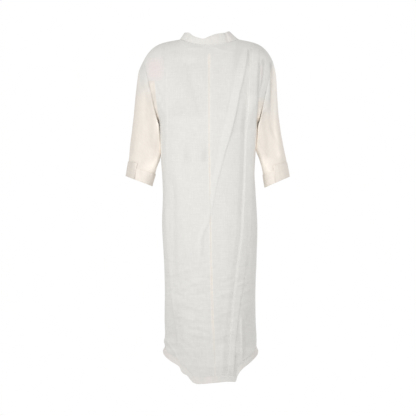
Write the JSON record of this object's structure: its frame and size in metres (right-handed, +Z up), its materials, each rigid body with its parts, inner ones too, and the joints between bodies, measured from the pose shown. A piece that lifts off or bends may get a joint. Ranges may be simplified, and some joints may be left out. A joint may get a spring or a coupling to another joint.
{
  "type": "midi dress",
  "caption": "Long loose linen dress in worn, hollow form, with a stand collar, three-quarter sleeves with turned-up cuffs and a curved hem that is longer at the back.",
  "frame": {"origin": "where the wearer's shoulders hold the dress: midway between the two points where the shoulder seams meet the collar", "axes": "+Z up; -Y is the side that the garment's back faces, which the picture shows; +X is to the right in the view from behind, the wearer's right"},
  "size_m": [0.5911, 0.2556, 1.2601],
  "materials": {
    "linen_body": "matt plain weave with slubs",
    "linen_sleeve": "matt plain weave, slightly warmer cream",
    "linen_band": "matt, two layers of the same linen"
  },
  "bodies": {
    "root": {"back_left": "linen_body", "back_right": "linen_body", "front": "linen_body", "collar": "linen_band", "hem_band_back": "linen_band", "hem_band_front": "linen_band", "sleeve_left": "linen_sleeve", "sleeve_right": "linen_sleeve", "cuff_left": "linen_sleeve", "cuff_right": "linen_sleeve"}
  },
  "joints": []
}
